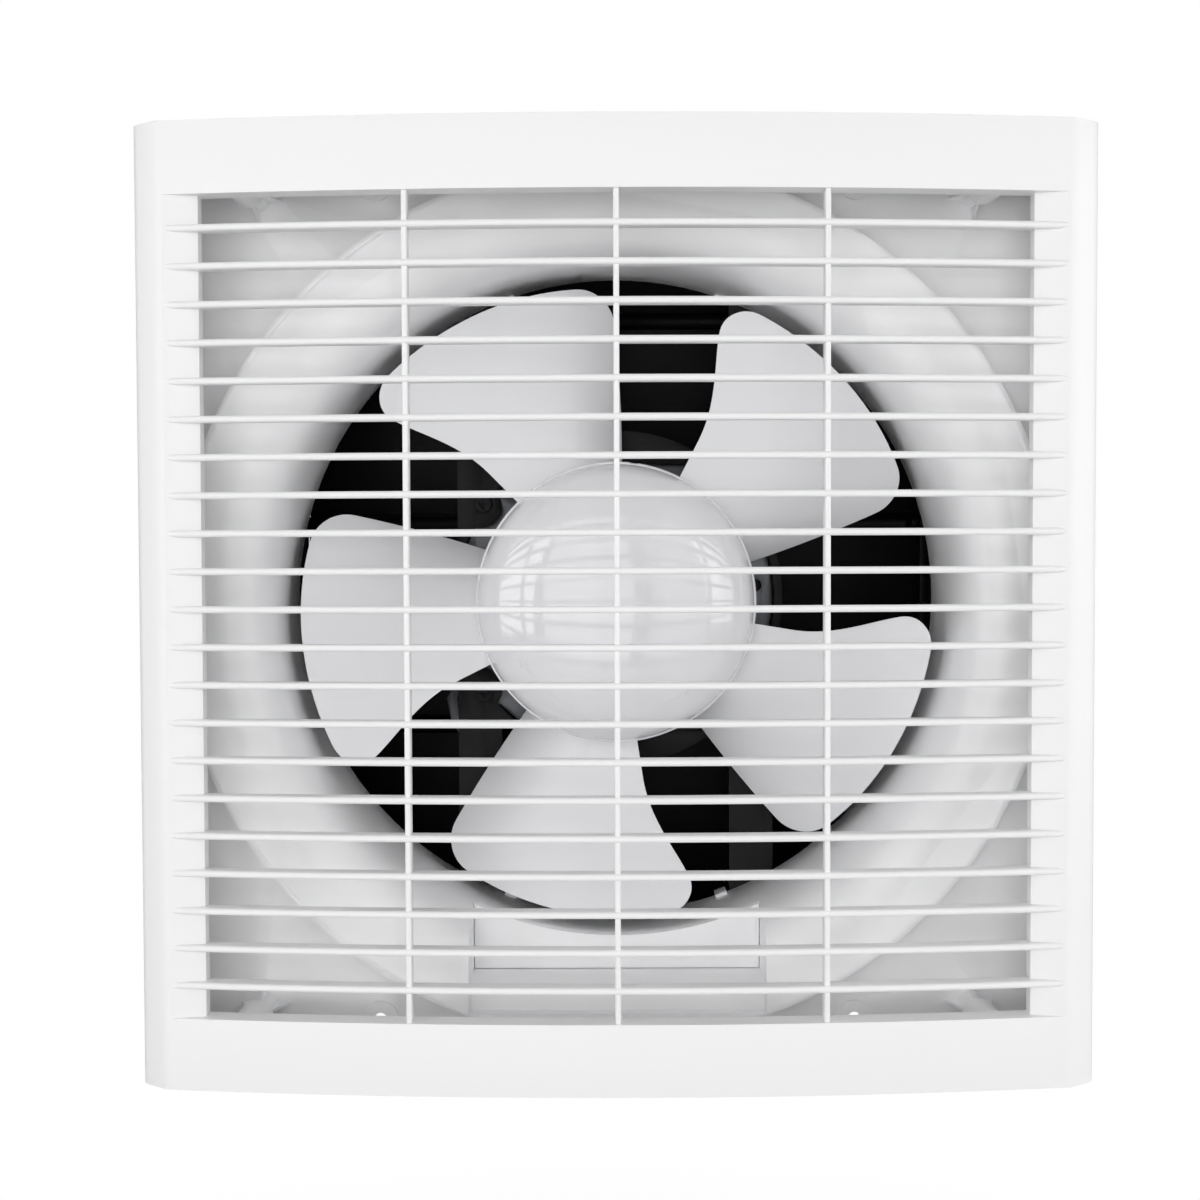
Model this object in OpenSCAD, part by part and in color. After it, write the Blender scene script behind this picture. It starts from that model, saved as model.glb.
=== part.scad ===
// Through-wall exhaust fan with a louvred front cover and backdraft flaps.
// X points right, Y points back into the wall, Z points up.
// The origin is on the rotor's axis, in the plane of the wall face.

/* [Casing] */
// Room between a flap's end and the casing's inner wall
flap_end_gap = 10.3; // [9.8:0.1:12]
// Distance from the motor's back to the flaps' hinges
flap_room = 14; // [13:0.5:36]
// Wall of the casing tube
casing_wall = 2.2; // [1.8:0.1:2.6]
// Depth of the frame's collar that enters the hole
collar_depth = 12; // [8:1:20]

/* [Front cover] */
// How far the cover reaches past the casing on each side
cover_lap = 21.5; // [19.5:0.5:29]
// Depth of the cover's side walls
cover_side = 40; // [38:1:48]
// Depth of the cover at the two upright creases
cover_crease = 47.5; // [46:0.5:50]
// Depth of the cover at its middle
cover_depth = 58; // [55:0.5:61]
// Distance from the cover's side to the crease
crease_inset = 10; // [7:0.5:12]
// Wall of the cover
cover_wall = 2.4; // [2:0.1:2.8]
// Radius of the cover's corners, seen from the front
cover_corner = 6; // [4:0.5:10]
// Band between the cover's top or bottom and the window
band_end = 25.5; // [24:0.5:27]
// Band between the cover's side and the window
band_side = 24; // [22:0.5:26]
// Depth of the scoops beside the window and of its return wall
window_return = 8; // [6:0.5:10]
// Width of the sloping scoop on each side of the window
scoop_w = 12; // [9:0.5:12.5]

/* [Louvre] */
// Number of slats
slat_count = 21; // [15:1:24]
// Gap between the window's edge and the nearest slat, in slat pitches
slat_end = 0.87; // [0.8:0.01:1]
// Thickness of a slat
slat_t = 2.5; // [2:0.1:3.2]
// Depth of a slat from front to back
slat_depth = 8; // [6:0.5:10]
// Thickness of the upright bars
bar_t = 2; // [1.6:0.1:3]
// Number of upright bars
bar_count = 3; // [1:1:5]
// How far the bars lie behind the slats' fronts
bar_recess = 1; // [0.5:0.1:2]

/* [Frame and bellmouth] */
// Thickness of the frame's flange
flange_t = 3; // [2.5:0.1:4]
// Gap between the flange and the inside of the cover
cover_gap = 0.6; // [0.4:0.1:1]
// Height of the rim round the flange
rim_h = 11; // [6:0.5:14]
// Wall of the rim
rim_wall = 2; // [1.5:0.1:2.5]
// Radius of the throat round the blades
throat_r = 130.5; // [128:0.5:131.5]
// Wall of the bellmouth
bell_wall = 2.5; // [2:0.1:3]
// How sharply the bellmouth turns into the throat, from 2 for a plain ellipse
bell_turn = 5; // [2:0.5:6]
// How far the bellmouth's lip stands in front of the wall face
lip_front = 8; // [6:0.5:20]
// Depth at which the bellmouth becomes a straight throat
throat_start = 50; // [44:1:54]
// Depth of the back end of the throat
throat_end = 62; // [61:0.5:64]
// Half width of the wiring pocket under the bellmouth
pocket_half = 56; // [48:1:60]
// Depth of the pocket's floor behind the wall face
pocket_floor = 20; // [16:1:24]
// Distance of the wall screws from the middle line
screw_x = 89.5; // [80:0.5:100]
// Radius of the holes for the wall screws
screw_hole_r = 2.3; // [2:0.1:2.8]
// Distance of the cover posts from the middle line
post_x = 133; // [125:1:138]
// Distance of the cover posts from the frame's top or bottom edge
post_inset = 16; // [14:1:17]
// Radius of a cover post
post_r = 4; // [3:0.1:4.2]
// Distance of the casing screws from the casing's sides
boss_inset = 10.5; // [9:0.5:12]

/* [Impeller] */
// Number of blades
blade_count = 5; // [3:1:6]
// Gap between the blade tips and the throat
tip_gap = 5.5; // [4:0.5:8]
// Radius of the hub
hub_r = 54; // [48:1:56]
// Depth of the hub's front face behind the wall face
hub_front = 16; // [15.5:0.5:18]
// Depth of the hub's skirt
hub_depth = 36; // [32:1:38]
// Angle that a blade covers round the hub
blade_arc = 47.6; // [36:0.2:52]
// How far the outer part of the leading edge sweeps forward, in degrees
blade_sweep = 6.6; // [0:0.2:8]
// How far the trailing edge leans forward from hub to tip, in degrees
blade_lean = 3.8; // [0:0.2:8]
// Radius of a blade's two rounded corners
blade_corner = 13.5; // [8:0.5:16]
// Thickness of a blade
blade_t = 2.2; // [1.8:0.1:2.6]
// Depth of the leading edge
blade_front = 23; // [22:0.5:26]
// Depth of the trailing edge
blade_back = 51; // [46:0.5:53]
// Turn of the whole impeller at rest, in degrees
blade_turn = 15; // [0:0.5:71.5]

/* [Spinner] */
// How far the hub cap's front stands before its rim
spinner_depth = 27; // [22:1:30]
// Wall of the hub cap
spinner_wall = 2.2; // [1.8:0.1:2.8]
// Thickness of the washer between hub and hub cap
washer_t = 1.7; // [1.2:0.1:1.7]

/* [Motor] */
// Radius of the motor's caps
motor_r = 65; // [60:0.5:66]
// Radius of the shaft
shaft_r = 4; // [3.5:0.1:4.5]
// Radius of the shaft's threaded end
thread_r = 3; // [2.5:0.1:3.2]
// Running gap between the shaft and what it turns in
shaft_gap = 0.05; // [0.02:0.01:0.1]
// Outside radius of the ball bearings
bearing_r = 11; // [10:0.5:12]
// Width of the ball bearings
bearing_w = 7; // [6:0.5:7]
// Length of the stack of stator plates
stack_len = 20; // [16:1:22]
// Half distance between the bracket's beams and the middle
beam_in = 47; // [46:0.5:49]
// Width of a bracket beam
beam_w = 18; // [14:0.5:19]
// Depth of a bracket beam
beam_depth = 12; // [8:0.5:14]
// Thickness of the bracket's plate
bracket_t = 3; // [2:0.1:3.5]

/* [Backdraft flaps] */
// Height of the fixed header, from the casing's wall down to the top hinge
header_h = 25.8; // [24.8:0.1:34]
// Gap between the lowest flap and the casing's floor
flap_foot = 3.3; // [2.5:0.1:5]
// Thickness of a flap
flap_t = 2; // [1.5:0.1:2.2]
// How far a flap reaches past the throat's radius on each side
flap_past = 5.5; // [4:0.1:6.5]
// Radius of the hinge pins
pin_r = 2; // [1.6:0.1:2.2]
// Running gap between a pin and its hole
pin_gap = 0.06; // [0.04:0.01:0.1]
// Distance from the hinge to the crank pin
crank = 16; // [13:0.5:17]

/* [Hidden] */
$fn = 64;
ring_fn = 144;
far = 400;
white = "#f1f1f0";
black = "#1b1b1d";
steel = "#b9bbbd";
zinc = "#8b8d8f";

// Sizes of the casing, the cover and the frame, which all follow from the throat
flap_half = throat_r + flap_past;
casing_in = 2 * (flap_half + flap_end_gap);
casing_size = casing_in + 2 * casing_wall;
cover_size = casing_size + 2 * cover_lap;
flange = cover_size - 2 * cover_wall - 2 * cover_gap;
rim_front = flange_t + rim_h;
lip_r = flange / 2 - rim_wall - 2;
bell_a = lip_r - throat_r;
bell_b = throat_start + lip_front;
screw_z = (casing_size + flange) / 4 - 1;
post_z = flange / 2 - post_inset;
boss_x = casing_size / 2 - boss_inset;

// Shape of the cover's front, a shallow barrel about an upright axis
crease_x = cover_size / 2 - crease_inset;
crease_rise = cover_depth - cover_crease;
barrel_r = (pow(crease_x, 2) + pow(crease_rise, 2)) / (2 * crease_rise);
facet_slope = crease_inset / (cover_crease - cover_side);
function facet_x(y, w) = cover_size / 2 - w - (y - cover_side + w / 2) * facet_slope;
window_w = cover_size - 2 * band_side;
window_h = cover_size - 2 * band_end;
slat_pitch = window_h / (slat_count - 1 + 2 * slat_end);
bar_pitch = window_w / (bar_count + 1);
function barrel_y(x, w) = barrel_r - cover_depth - sqrt(pow(barrel_r - w, 2) - x * x);
scoop_x = window_w / 2 + scoop_w;

// Places along the axis
cover_back = 0.5;
bracket_y = throat_end;
cap_y = bracket_y + bracket_t;
cap_depth = 9;
stack_y = cap_y + cap_depth;
rear_cap_y = stack_y + stack_len;
rear_cap_depth = 10;
motor_back = rear_cap_y + rear_cap_depth;
washer_y = hub_front - 0.3 - washer_t;
spinner_rim = washer_y - 0.3;
spinner_front = spinner_rim - spinner_depth;
ledge_y = bracket_y + bracket_t;
ledge_t = 3;
ledge_w = 5;
hinge_y = motor_back + flap_room;
casing_depth = hinge_y + 7;
motor_ear = [54, 39];
ear_screw_r = 2;

// Small details of the cover, the pocket and the screws
socket_len = 26;
slat_set = 0.2;
pocket_wall = 2;
pocket_low = casing_in / 2 - 0.3 - pocket_wall;
pocket_low_front = pocket_low + 10;
pocket_top = -80;
clip_x = pocket_half - 7;
clip_z = pocket_low - 3.5;
frame_screw_r = 1.5;
frame_screw_len = 20;

// A flat shape drawn in X and Z, given a thickness from y0 to y1
module slab(y0, y1) {
    translate([0, y1, 0]) rotate([90, 0, 0]) linear_extrude(y1 - y0) children();
}
// A profile of radius and depth, turned about the rotor's axis
module turned() {
    rotate([-90, 0, 0]) rotate_extrude($fn = ring_fn) children();
}
module rod(r, y0, y1) {
    translate([0, y0, 0]) rotate([-90, 0, 0]) cylinder(r = r, h = y1 - y0);
}
module tube(r_in, r_out, y0, y1) {
    difference() {
        rod(r_out, y0, y1);
        rod(r_in, y0 - 1, y1 + 1);
    }
}
module pin_x(r, x0, x1) {
    translate([x0, 0, 0]) rotate([0, 90, 0]) cylinder(r = r, h = x1 - x0);
}
module rounded(w, h, r) {
    square([w - 2 * r, h], center = true);
    square([w, h - 2 * r], center = true);
    for (sx = [-1, 1], sz = [-1, 1])
        translate([sx * (w / 2 - r), sz * (h / 2 - r)]) circle(r);
}
module four(x, z) {
    for (sx = [-1, 1], sz = [-1, 1]) translate([sx * x, 0, sz * z]) children();
}

// Front cover

// The cover's outer form, drawn in by w all over
module cover_form(w, back) {
    intersection() {
        slab(-far, back) rounded(cover_size - 2 * w, cover_size - 2 * w, cover_corner - w / 2);
        translate([0, barrel_r - cover_depth, -far / 2])
            cylinder(r = barrel_r - w, h = far, $fn = 1440);
        translate([0, 0, -far / 2]) linear_extrude(far) polygon([
            [-cover_size / 2, back], [-cover_size / 2 + w, -cover_side + w / 2],
            [-facet_x(cover_depth + 4, w), -cover_depth - 4],
            [facet_x(cover_depth + 4, w), -cover_depth - 4],
            [cover_size / 2 - w, -cover_side + w / 2], [cover_size / 2, back]]);
    }
}
// A flat strip that follows the barrel, from w0 to w1 behind its face
module barrel_strip(w0, w1, half) {
    intersection() {
        translate([0, barrel_r - cover_depth]) difference() {
            circle(barrel_r - w0, $fn = 1440);
            circle(barrel_r - w1, $fn = 1440);
        }
        translate([-half, -cover_depth - 1]) square([2 * half, cover_depth / 2]);
    }
}
// Front and back of the sloping scoop beside the window, on the right side
scoop_outer = [scoop_x, barrel_y(scoop_x, 0) + slat_set];
scoop_inner = [window_w / 2, barrel_y(window_w / 2, 0) + window_return];
module scoop_walls() {
    for (side = [0, 1]) mirror([side, 0, 0])
        translate([0, 0, -window_h / 2 - 1]) linear_extrude(window_h + 2)
            polygon([scoop_outer, scoop_inner, scoop_inner + [0, cover_wall],
                scoop_outer + [2, cover_wall]]);
}
module slat() {
    translate([0, 0, -slat_t / 2]) linear_extrude(slat_t) difference() {
        barrel_strip(slat_set, slat_depth, scoop_x + 1);
        // Nothing of a slat shows behind the sloping scoop
        for (side = [0, 1]) mirror([side, 0, 0])
            polygon([scoop_outer + [0, cover_wall / 2], scoop_inner + [0, cover_wall / 2],
                scoop_inner + [0, 20], scoop_outer + [9, 20], scoop_outer + [9, cover_wall / 2]]);
    }
}
module front_grille() color(white) {
    difference() {
        cover_form(0, -cover_back);
        cover_form(cover_wall, 1);
        slab(-far, -cover_side + 8) square([2 * scoop_x, window_h], center = true);
    }
    scoop_walls();
    // Return walls along the top and bottom of the window
    for (sz = [-1, 1]) translate([0, 0, sz * (window_h / 2 + 1) - 1]) linear_extrude(2)
        barrel_strip(cover_wall / 2, window_return, scoop_x);
    for (i = [0 : slat_count - 1]) translate([0, 0, (i + slat_end) * slat_pitch - window_h / 2]) slat();
    for (i = [1 : bar_count]) translate([i * bar_pitch - window_w / 2, 0, -window_h / 2 - 1])
        linear_extrude(window_h + 2) intersection() {
            translate([window_w / 2 - i * bar_pitch, 0])
                barrel_strip(bar_recess, slat_depth - 0.5, scoop_x);
            square([bar_t, far], center = true);
        }
    // Sockets that push over the posts
    intersection() {
        cover_form(cover_wall / 2, -cover_side + socket_len - 8);
        four(post_x, post_z) tube(post_r + 0.3, post_r + 2.3, -far, 0);
    }
}

// Frame

function unit(v) = v / norm(v);
function bell_in(t) = [lip_r - bell_a * pow(sin(t), 2 / bell_turn),
    throat_start - bell_b * pow(cos(t), 2 / bell_turn)];
function bell_n(t) = unit([bell_b * pow(sin(t), 2 - 2 / bell_turn),
    bell_a * pow(cos(t), 2 - 2 / bell_turn)]);
// Radius of the bellmouth's air side at a depth y
function bell_r(y) = y >= throat_start ? throat_r
    : lip_r - bell_a * pow(1 - pow((throat_start - y) / bell_b, bell_turn), 1 / bell_turn);
bell_steps = 18;
module bell_profile() {
    lip = 1.6;
    polygon(concat(
        [[lip_r + lip, -lip_front - 1.2], [lip_r - 0.4, -lip_front - 1.2]],
        [for (i = [0 : bell_steps]) bell_in(90 * i / bell_steps)],
        [[throat_r, throat_end], [throat_r + bell_wall, throat_end]],
        [for (i = [bell_steps : -1 : 1])
            bell_in(90 * i / bell_steps) + bell_wall * bell_n(90 * i / bell_steps)],
        [[lip_r + lip, -lip_front + bell_wall]]));
}
// The air way, out to the middle of the bellmouth's wall
module bell_core() {
    turned() polygon(concat(
        [[0, -lip_front - 5], [lip_r, -lip_front - 5]],
        [for (i = [0 : bell_steps])
            bell_in(90 * i / bell_steps) + bell_wall / 2 * bell_n(90 * i / bell_steps)],
        [[throat_r + bell_wall / 2, throat_end + 1], [0, throat_end + 1]]));
}
module pocket_box(half, low, y0, y1) {
    translate([-half, y0, -low]) cube([2 * half, y1 - y0, low + pocket_top]);
}
module gusset() {
    for (a = [0 : 90 : 270]) rotate([0, a, 0]) translate([0, 0, -0.6])
        linear_extrude(1.2) polygon([[0, -1], [9, -1], [9, -flange_t - 1],
            [post_r - 0.5, -flange_t - 13], [0, -flange_t - 13]]);
}
// Tabs that hook over the bracket's plate
module snap_tabs() {
    for (a = [19.5, 160.5, 199.5, 340.5]) rotate([0, a, 0])
        translate([-2.5, throat_end - 6, throat_r - 1.4]) cube([5, 10, 2.1]);
}
module body_frame() color(white) {
    difference() {
        union() {
            difference() {
                union() {
                    // Flange with its rim and the collar that enters the wall hole
                    slab(-flange_t, 0) rounded(flange, flange, cover_corner - 2);
                    slab(-rim_front, -flange_t + 0.5) difference() {
                        rounded(flange, flange, cover_corner - 2);
                        square(flange - 2 * rim_wall, center = true);
                    }
                    slab(-0.5, collar_depth) difference() {
                        square(casing_size, center = true);
                        square(casing_in, center = true);
                    }
                    // Walls and floor of the wiring pocket
                    pocket_box(pocket_half + pocket_wall, pocket_low_front + pocket_wall,
                        -lip_front, -flange_t + 0.5);
                    pocket_box(pocket_half + pocket_wall, casing_in / 2 + 0.5,
                        -flange_t, collar_depth);
                    pocket_box(pocket_half + pocket_wall, pocket_low + pocket_wall,
                        -flange_t, pocket_floor + 2 + pocket_wall);
                    // Pads round the wall screws, and posts for the cover
                    four(screw_x, screw_z) rod(6.5, -flange_t - 2, -1);
                    four(post_x, post_z) {
                        rod(post_r, -36, -1);
                        gusset();
                    }
                    // Long bosses that carry the bracket and the casing
                    four(boss_x, boss_x) rod(5, -1, throat_end);
                }
                bell_core();
            }
            turned() bell_profile();
        }
        // Room inside the pocket, in front of its cover plate
        pocket_box(pocket_half, pocket_low_front, -far, -flange_t);
        pocket_box(pocket_half, pocket_low, -flange_t - 1, pocket_floor + 2);
        // Opening behind the cover plate for the wires, and slots for its hooks
        translate([-40, pocket_floor - 1, -pocket_low + 1.6]) cube([80, 12, 5]);
        for (sx = [-1, 1])
            translate([sx * clip_x - 2.3, pocket_floor - 1, -clip_z - 1.4]) cube([4.6, 12, 3]);
        four(screw_x, screw_z) rod(screw_hole_r, -far, far);
        four(boss_x, boss_x) rod(frame_screw_r, throat_end - frame_screw_len, throat_end + 1);
    }
    snap_tabs();
}
// Plate that closes the pocket, with two hooks behind it
module cover_plate_outline() {
    difference() {
        translate([-pocket_half + 0.3, -pocket_low + 0.3])
            square([2 * pocket_half - 0.6, pocket_low + pocket_top]);
        circle(bell_r(pocket_floor), $fn = ring_fn);
    }
}
module terminal_cover() color(white) {
    slab(pocket_floor, pocket_floor + 2) cover_plate_outline();
    for (sx = [-1, 1]) {
        translate([sx * clip_x - 2, pocket_floor + 1.5, -clip_z - 1]) cube([4, 5.5, 1.6]);
        translate([sx * clip_x - 2, pocket_floor + 4.3, -clip_z + 0.4]) cube([4, 2.7, 1.7]);
    }
}

// Wiring in the lower left corner of the casing

block_w = 34;
block_d = 20;
block_x = 29 - boss_x;
block_y = bracket_y - block_d - 2;
block_low = casing_in / 2 - 2.5;
module terminal_block() color("#e6e2d6") {
    difference() {
        union() {
            translate([block_x - block_w / 2, block_y, -block_low]) cube([block_w, block_d, 12]);
            for (i = [-2 : 2]) translate([block_x + i * 8 - 0.9, block_y, -block_low + 11])
                cube([1.8, block_d, 6]);
            // Foot on the casing's floor
            translate([block_x - block_w / 2 - 3, block_y + 4, -casing_in / 2])
                cube([block_w + 6, block_d - 8, 3]);
        }
        for (i = [-1.5 : 1.5]) for (y = [5, 15])
            translate([block_x + i * 8, block_y + y, -block_low + 4]) cylinder(r = 1.6, h = 20);
    }
}
module terminal_screws() color("#c9a24a") {
    for (i = [-1.5 : 1.5]) for (y = [5, 15])
        translate([block_x + i * 8, block_y + y, -block_low]) {
            translate([0, 0, 4]) cylinder(r = 1.5, h = 9);
            translate([0, 0, 12]) difference() {
                cylinder(r = 2.8, h = 2);
                translate([-2, -0.4, 1.2]) cube([4, 0.8, 1]);
            }
        }
}
capacitor_w = 38;
capacitor_d = 20;
capacitor_h = 26;
module capacitor() color("#2c2c30") {
    translate([boss_x - 8 - capacitor_w, bracket_y - 6 - capacitor_d, -casing_in / 2]) {
        difference() {
            cube([capacitor_w, capacitor_d, capacitor_h]);
            translate([4, capacitor_d - 3, capacitor_h - 3]) cube([capacitor_w - 8, 4, 4]);
        }
        translate([-7, 4, 0]) difference() {
            cube([8, 12, 2]);
            translate([3.5, 6, -1]) cylinder(r = 1.8, h = 4);
        }
        for (x = [12, 26]) translate([x, 7, capacitor_h - 1]) cube([1, 6, 9]);
    }
}
// Rubber ring in a notch of the casing's floor, where the mains cable comes in
grommet_x = block_x;
grommet_y = 28;
grommet_hole = 6;
grommet_bore = 3.6;
module cable_grommet() color("#242426") {
    translate([grommet_x, grommet_y, -casing_size / 2]) difference() {
        union() {
            translate([0, 0, -1]) cylinder(r = grommet_hole + 3, h = 1);
            translate([0, 0, -0.5]) cylinder(r = grommet_hole - 0.05, h = casing_wall + 1);
            translate([0, 0, casing_wall]) cylinder(r = grommet_hole + 3, h = 2);
        }
        translate([0, 0, -2]) cylinder(r = grommet_bore, h = casing_wall + 6);
    }
}

// Motor lead, from the motor along the left beam to the terminal block

lead_r = 2.4;
beam_mid = beam_in + beam_w / 2;
lead_seat = 0.8;
lead_y = cap_y + beam_depth + lead_seat + lead_r;
lead_low = casing_in / 2 - 10.3;
lead_path = [
    [-52, rear_cap_y + 2.6, -33], [-60, rear_cap_y + 2.6, -35], [-67, rear_cap_y + 1, -38.5],
    [-70, lead_y + 10, -44], [-68, lead_y + 4.5, -52], [-62, lead_y + 1, -61],
    [-beam_mid, lead_y, -70], [-beam_mid, lead_y, 22 - lead_low], [-60, lead_y, 12 - lead_low],
    [-72, lead_y, 5 - lead_low], [-86, lead_y - 1, 1 - lead_low],
    [block_x + 11, lead_y - 6, -lead_low], [block_x + 5, lead_y - 14, -lead_low],
    [block_x + 4, block_y + block_d + 0.3, -lead_low]];
lead_hole = lead_path[len(lead_path) - 2];
function lead_dir(i) = unit(lead_path[min(i + 1, len(lead_path) - 1)] - lead_path[max(i - 1, 0)]);
lead_sides = 10;
function lead_ring(i) = let (d = lead_dir(i), u = unit(cross(d, [0, 1, 0.3])), v = cross(d, u))
    [for (k = [0 : lead_sides - 1]) lead_path[i]
        + lead_r * (cos(360 * k / lead_sides) * u + sin(360 * k / lead_sides) * v)];
module motor_lead() color("#8f9094") {
    n = len(lead_path);
    s = lead_sides;
    polyhedron(
        points = [for (i = [0 : n - 1]) each lead_ring(i)],
        faces = concat(
            [[for (k = [0 : s - 1]) k]],
            [for (i = [0 : n - 2]) for (k = [0 : s - 1]) each [
                [i * s + k, (i + 1) * s + k, (i + 1) * s + (k + 1) % s],
                [i * s + k, (i + 1) * s + (k + 1) % s, i * s + (k + 1) % s]]],
            [[for (k = [s - 1 : -1 : 0]) (n - 1) * s + k]]));
}
module lead_clips() color(black) {
    for (z = [-76, 30 - lead_low]) translate([-beam_mid, 0, z]) difference() {
        translate([-beam_w / 2, cap_y + beam_depth, -3]) cube([beam_w, 2 * (lead_r + lead_seat), 6]);
        translate([0, lead_y, -4]) cylinder(r = lead_r, h = 8);
    }
}

// Bracket that carries the motor across the throat

beam_half = casing_in / 2 - ledge_w - 0.3;
// Half height of the hole round the motor's front cap, and the places of the lobes at its screws
hole_half = motor_r - 9.8;
motor_lobe = motor_ear + [2, -1];
module bracket_beam() {
    slab(bracket_y, cap_y) translate([beam_in, -casing_in / 2 + 0.5]) square([beam_w, casing_in - 1]);
    difference() {
        slab(cap_y - 0.5, cap_y + beam_depth) translate([beam_in, -beam_half])
            square([beam_w, 2 * beam_half]);
        rod(motor_r + 12, cap_y, far);
        // The beam is a channel, open at the back
        slab(cap_y + 0.5, far) translate([beam_in + 2, 3.5 - beam_half])
            square([beam_w - 4, 2 * beam_half - 7]);
    }
}
module motor_bracket() color(black) {
    difference() {
        union() {
            slab(bracket_y, cap_y) difference() {
                square(casing_in - 0.6, center = true);
                circle(throat_r + 1.2, $fn = ring_fn);
            }
            difference() {
                union() {
                    for (side = [0, 1]) mirror([side, 0, 0]) bracket_beam();
                    rod(motor_r + 4, bracket_y, cap_y);
                }
                // The motor's front cap shows through a hole with flat ends
                intersection() {
                    rod(motor_r + 0.6, bracket_y - 1, cap_y + 1);
                    cube([far, far, 2 * hole_half], center = true);
                }
            }
            // A lobe at each motor screw
            four(motor_lobe[0], motor_lobe[1]) rod(9, bracket_y, cap_y);
        }
        four(motor_ear[0], motor_ear[1]) rod(ear_screw_r + 0.3, bracket_y - 1, cap_y + 1);
        four(boss_x, boss_x) rod(frame_screw_r + 0.3, bracket_y - 1, cap_y + 1);
        translate([lead_hole[0], 0, lead_hole[2]]) rod(lead_r + 4, bracket_y - 1, cap_y + 1);
    }
}

// Casing tube behind the wall, with the fixed header over the flaps

roll_r = 3.5;
bush_r = 3.5;
bush_flange = 0.7;
// Where a lip that laps behind the next flap's roll starts, from that flap's hinge
lip_y = roll_r + 0.5;
lip_z = 2.2;
flap_count = 3;
flap_top_z = casing_in / 2 - header_h;
flap_pitch = (flap_top_z + casing_in / 2 + roll_r + 1.5 - flap_foot) / flap_count;
hinge_z = [for (i = [0 : flap_count - 1]) flap_top_z - i * flap_pitch];
module rear_casing() color(black) {
    difference() {
        union() {
            slab(collar_depth, casing_depth) difference() {
                square(casing_size, center = true);
                square(casing_in, center = true);
            }
            // Ledge behind the bracket's plate
            slab(ledge_y, ledge_y + ledge_t) difference() {
                square(casing_in + 1, center = true);
                square(casing_in - 2 * ledge_w, center = true);
            }
            four(boss_x, boss_x) rod(6, ledge_y, ledge_y + ledge_t);
            // Header, which laps behind the top flap's roll
            translate([-casing_in / 2 - 0.5, hinge_y + lip_y, hinge_z[0] + lip_z])
                cube([casing_in + 1, flap_t, casing_in / 2 - hinge_z[0] - lip_z + 0.5]);
            // Strips that hide the gaps at the flaps' ends from outdoors
            for (side = [0, 1]) mirror([side, 0, 0])
                translate([flap_half + 1, hinge_y + 4.5, -casing_in / 2 - 0.5])
                    cube([casing_in / 2 - flap_half, 2, casing_in + 1]);
            for (z = hinge_z) for (side = [0, 1]) mirror([side, 0, 0])
                translate([0, hinge_y, z]) pin_x(bush_r + 1.6, casing_in / 2 - 5, casing_in / 2 + 0.5);
        }
        for (z = hinge_z) for (side = [0, 1]) mirror([side, 0, 0])
            translate([0, hinge_y, z]) pin_x(bush_r, casing_in / 2 - 6, casing_in / 2 - 0.3);
        four(boss_x, boss_x) rod(frame_screw_r + 0.3, ledge_y - 1, ledge_y + ledge_t + 1);
        // Notch for the rubber ring
        translate([grommet_x - grommet_hole, collar_depth - 1, -casing_size / 2 - 1])
            cube([2 * grommet_hole, grommet_y + grommet_hole - collar_depth + 1, casing_wall + 2]);
    }
}
// Four screws through the casing's ledge and the bracket into the frame's bosses
module frame_screws() color(steel) {
    four(boss_x, boss_x) difference() {
        union() {
            rod(frame_screw_r, throat_end - 14, ledge_y + ledge_t + 0.5);
            rod(3.2, ledge_y + ledge_t, ledge_y + ledge_t + 2.2);
        }
        translate([-2, ledge_y + ledge_t + 1.2, -0.4]) cube([4, 2, 0.8]);
        translate([-0.4, ledge_y + ledge_t + 1.2, -2]) cube([0.8, 2, 4]);
    }
}

// Motor

bearing_front = cap_y - 4;
bearing_rear = motor_back - bearing_w - 1;
seat_wall = 3;
motor_wall = 2.5;
module motor_front_cap() color(zinc) {
    difference() {
        union() {
            rod(motor_r, cap_y, stack_y);
            rod(bearing_r + seat_wall, bearing_front - 1.5, cap_y + 1);
            four(motor_ear[0], motor_ear[1]) rod(8, cap_y, cap_y + 5);
        }
        tube(bearing_r + seat_wall, motor_r - motor_wall, cap_y + motor_wall, stack_y + 1);
        rod(bearing_r, bearing_front, stack_y + 1);
        rod(shaft_r + 2, bearing_front - 2, bearing_front + 1);
        four(motor_ear[0], motor_ear[1]) rod(ear_screw_r, cap_y - 1, stack_y + 1);
        // Vent seen in the photographed cap's right side
        translate([motor_r - 7, 0, 5]) rod(2.6, cap_y - 1, stack_y);
    }
}
module motor_rear_cap() color(zinc) {
    difference() {
        rod(motor_r, rear_cap_y, motor_back);
        tube(bearing_r + seat_wall, motor_r - motor_wall, rear_cap_y - 1, motor_back - motor_wall);
        rod(bearing_r, rear_cap_y - 1, motor_back - 1);
        for (a = [30 : 60 : 330]) rotate([0, a, 0])
            translate([motor_r - 31, 0, 0]) rod(4.5, motor_back - motor_wall - 1, motor_back + 1);
        // Notch for the lead
        translate([-motor_r - 1, rear_cap_y - 1, -38]) cube([18, 6.2, 10]);
    }
}
gap_r = motor_r - 29;
module stator_core() color("#6f6d6a") {
    difference() {
        rod(motor_r, stack_y, rear_cap_y);
        rod(gap_r, stack_y - 1, rear_cap_y + 1);
        for (a = [0 : 15 : 345]) rotate([0, a, 0])
            translate([gap_r + 8, stack_y - 1, -2]) cube([12, stack_len + 2, 4]);
    }
}
module stator_windings() color("#a5562b") {
    for (y = [stack_y - 2.6, rear_cap_y + 2.6]) turned() translate([gap_r + 13, y]) {
        square([14, 5.2], center = true);
        for (sx = [-1, 1]) translate([sx * 7, 0]) circle(2.6, $fn = 32);
    }
    for (a = [0 : 15 : 345]) rotate([0, a, 0])
        translate([gap_r + 8.3, stack_y - 0.5, -1.7]) cube([11.4, stack_len + 1, 3.4]);
}
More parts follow.
